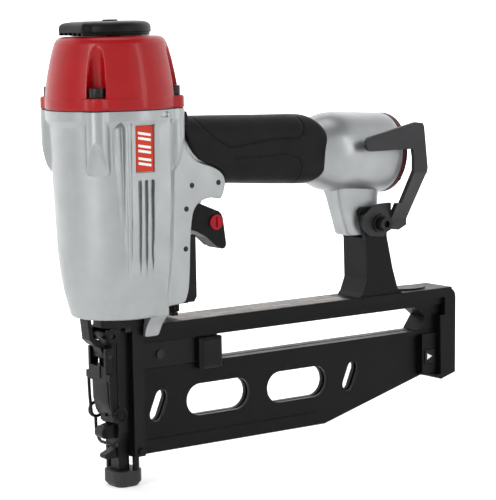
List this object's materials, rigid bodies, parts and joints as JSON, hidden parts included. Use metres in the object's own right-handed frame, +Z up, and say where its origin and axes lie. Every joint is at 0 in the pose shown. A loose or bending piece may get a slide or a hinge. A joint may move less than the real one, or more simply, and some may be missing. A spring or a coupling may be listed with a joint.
{
  "type": "pneumatic finish nailer",
  "caption": "Pneumatic flooring and finish nailer: cast body with red cap, tilted rubber grip, straight slotted magazine, nose latch and belt hook.",
  "frame": {"origin": "on the driver's axis, in the plane of the contact foot's lower face", "axes": "+Z up along the driver, from the work to the cap; +X towards the handle's and the magazine's rear end; the belt hook is on the -Y side"},
  "size_m": [0.316, 0.084, 0.2974],
  "materials": {
    "cast_silver": "satin",
    "cap_red": "gloss",
    "seal_rubber": "matte",
    "black_oxide": "satin",
    "black_plastic": "matte",
    "sleeve_alloy": "satin",
    "bumper_urethane": "matte",
    "steel": "satin",
    "white_plastic": "satin",
    "grip_rubber": "matte",
    "gasket_red": "satin",
    "black_paint": "satin",
    "brass_mesh": "satin",
    "dial_red": "satin",
    "nose_steel": "matte",
    "label_grey": "matte",
    "hook_steel": "satin",
    "badge": "gloss"
  },
  "bodies": {
    "tool": {"frame": "cast_silver", "cylinder_cap": "cap_red", "cap_gasket": "seal_rubber", "cap_screws": "black_oxide", "deflector_screw": "black_oxide", "cylinder_sleeve": "sleeve_alloy", "sleeve_ring": "seal_rubber", "bumper": "bumper_urethane", "grip": "grip_rubber", "end_gasket": "gasket_red", "end_cap": "black_paint", "end_cap_screws": "black_oxide", "air_bush": "steel", "inlet_screen": "brass_mesh", "trigger_pin": "steel", "valve_body": "black_plastic", "link_guide": "black_plastic", "guide_pin": "steel", "nose_body": "nose_steel", "nose_bolts": "black_oxide", "magazine_frame": "black_paint", "nail_channel": "black_paint", "channel_screws": "black_oxide", "rail_label": "label_grey", "arm_bolt": "black_oxide", "arm_nut": "black_oxide", "side_badge": "badge"},
    "deflector": {"exhaust_deflector": "black_plastic"},
    "piston_unit": {"piston": "sleeve_alloy", "piston_ring": "seal_rubber", "driver_blade": "steel"},
    "head_valve_unit": {"head_valve": "white_plastic", "head_valve_seal": "seal_rubber", "head_valve_spring": "steel"},
    "trigger_unit": {"trigger": "black_paint", "lever_pin": "steel"},
    "lever_unit": {"contact_lever": "steel"},
    "dial_unit": {"mode_dial": "dial_red"},
    "stem_unit": {"valve_stem": "steel", "valve_spring": "steel"},
    "contact_unit": {"contact_foot": "seal_rubber", "guide_rods": "steel", "contact_rod": "nose_steel", "contact_link": "nose_steel", "depth_spindle": "steel", "upper_link": "nose_steel", "contact_spring": "steel"},
    "wheel_unit": {"depth_wheel": "black_plastic"},
    "door_unit": {"nose_door": "nose_steel", "latch_cover": "nose_steel", "door_pins": "black_oxide", "latch_spring": "black_oxide"},
    "latch_unit": {"latch_lever": "nose_steel"},
    "follower": {"pusher": "black_plastic", "pusher_knob": "black_plastic", "pusher_coil": "steel", "pusher_rivet": "steel"},
    "button_unit": {"magazine_latch": "black_plastic"},
    "hook_unit": {"belt_hook": "hook_steel", "hook_washer": "black_oxide"}
  },
  "joints": [
    {"name": "deflector_turn", "type": "hinge", "parent": "tool", "child": "deflector", "pos_m": [0, 0, 0.29], "axis": [0, 0, 1], "continuous": true},
    {"name": "piston_stroke", "type": "slide", "parent": "tool", "child": "piston_unit", "axis": [0, 0, -1], "range_m": [0, 0.0825]},
    {"name": "head_valve_lift", "type": "slide", "parent": "tool", "child": "head_valve_unit", "axis": [0, 0, 1], "range_m": [0, 0.003], "stiffness_N_per_m": 1500, "springref_m": -0.003, "deforming": ["head_valve_spring"]},
    {"name": "trigger_pull", "type": "hinge", "parent": "tool", "child": "trigger_unit", "pos_m": [0.0433, 0, 0.1762], "axis": [0, -1, 0], "range_deg": [0, 11], "stiffness_Nm_per_rad": 0.5, "springref_deg": -14.32},
    {"name": "lever_swing", "type": "hinge", "parent": "trigger_unit", "child": "lever_unit", "pos_m": [0.0695, 0, 0.1692], "axis": [0, 1, 0], "range_deg": [0, 13]},
    {"name": "dial_turn", "type": "hinge", "parent": "trigger_unit", "child": "dial_unit", "pos_m": [0.0722, 0, 0.1649], "axis": [0, 1, 0], "range_deg": [0, 180]},
    {"name": "stem_lift", "type": "slide", "parent": "tool", "child": "stem_unit", "axis": [0, 0, 1], "range_m": [0, 0.002], "deforming": ["valve_spring"]},
    {"name": "contact_press", "type": "slide", "parent": "tool", "child": "contact_unit", "axis": [0, 0, 1], "range_m": [0, 0.0078], "stiffness_N_per_m": 600, "springref_m": -0.012, "deforming": ["contact_spring"]},
    {"name": "depth_turn", "type": "hinge", "parent": "contact_unit", "child": "wheel_unit", "pos_m": [0.0415, 0, 0.1108], "axis": [0, 0, 1], "continuous": true},
    {"name": "door_swing", "type": "hinge", "parent": "tool", "child": "door_unit", "pos_m": [-0.0106, 0, 0.099], "axis": [0, 1, 0], "range_deg": [0, 70]},
    {"name": "latch_flip", "type": "hinge", "parent": "door_unit", "child": "latch_unit", "pos_m": [-0.0124, 0, 0.086], "axis": [0, -1, 0], "range_deg": [0, 98]},
    {"name": "follower_slide", "type": "slide", "parent": "tool", "child": "follower", "axis": [1, 0, 0], "range_m": [0, 0.166]},
    {"name": "catch_press", "type": "slide", "parent": "tool", "child": "button_unit", "axis": [0, 1, 0], "range_m": [0, 0.0015], "stiffness_N_per_m": 700, "springref_m": -0.002},
    {"name": "hook_swing", "type": "hinge", "parent": "tool", "child": "hook_unit", "pos_m": [0.2035, 0, 0.1545], "axis": [0, 1, 0], "range_deg": [0, 90]}
  ],
  "couplings": [
    {"joint": "stem_lift", "follows": "trigger_pull", "m_per_rad": 0.010417},
    {"joint": "lever_swing", "follows": "contact_press", "rad_per_m": 29.088},
    {"joint": "latch_flip", "follows": "door_swing", "ratio": 1.4}
  ]
}
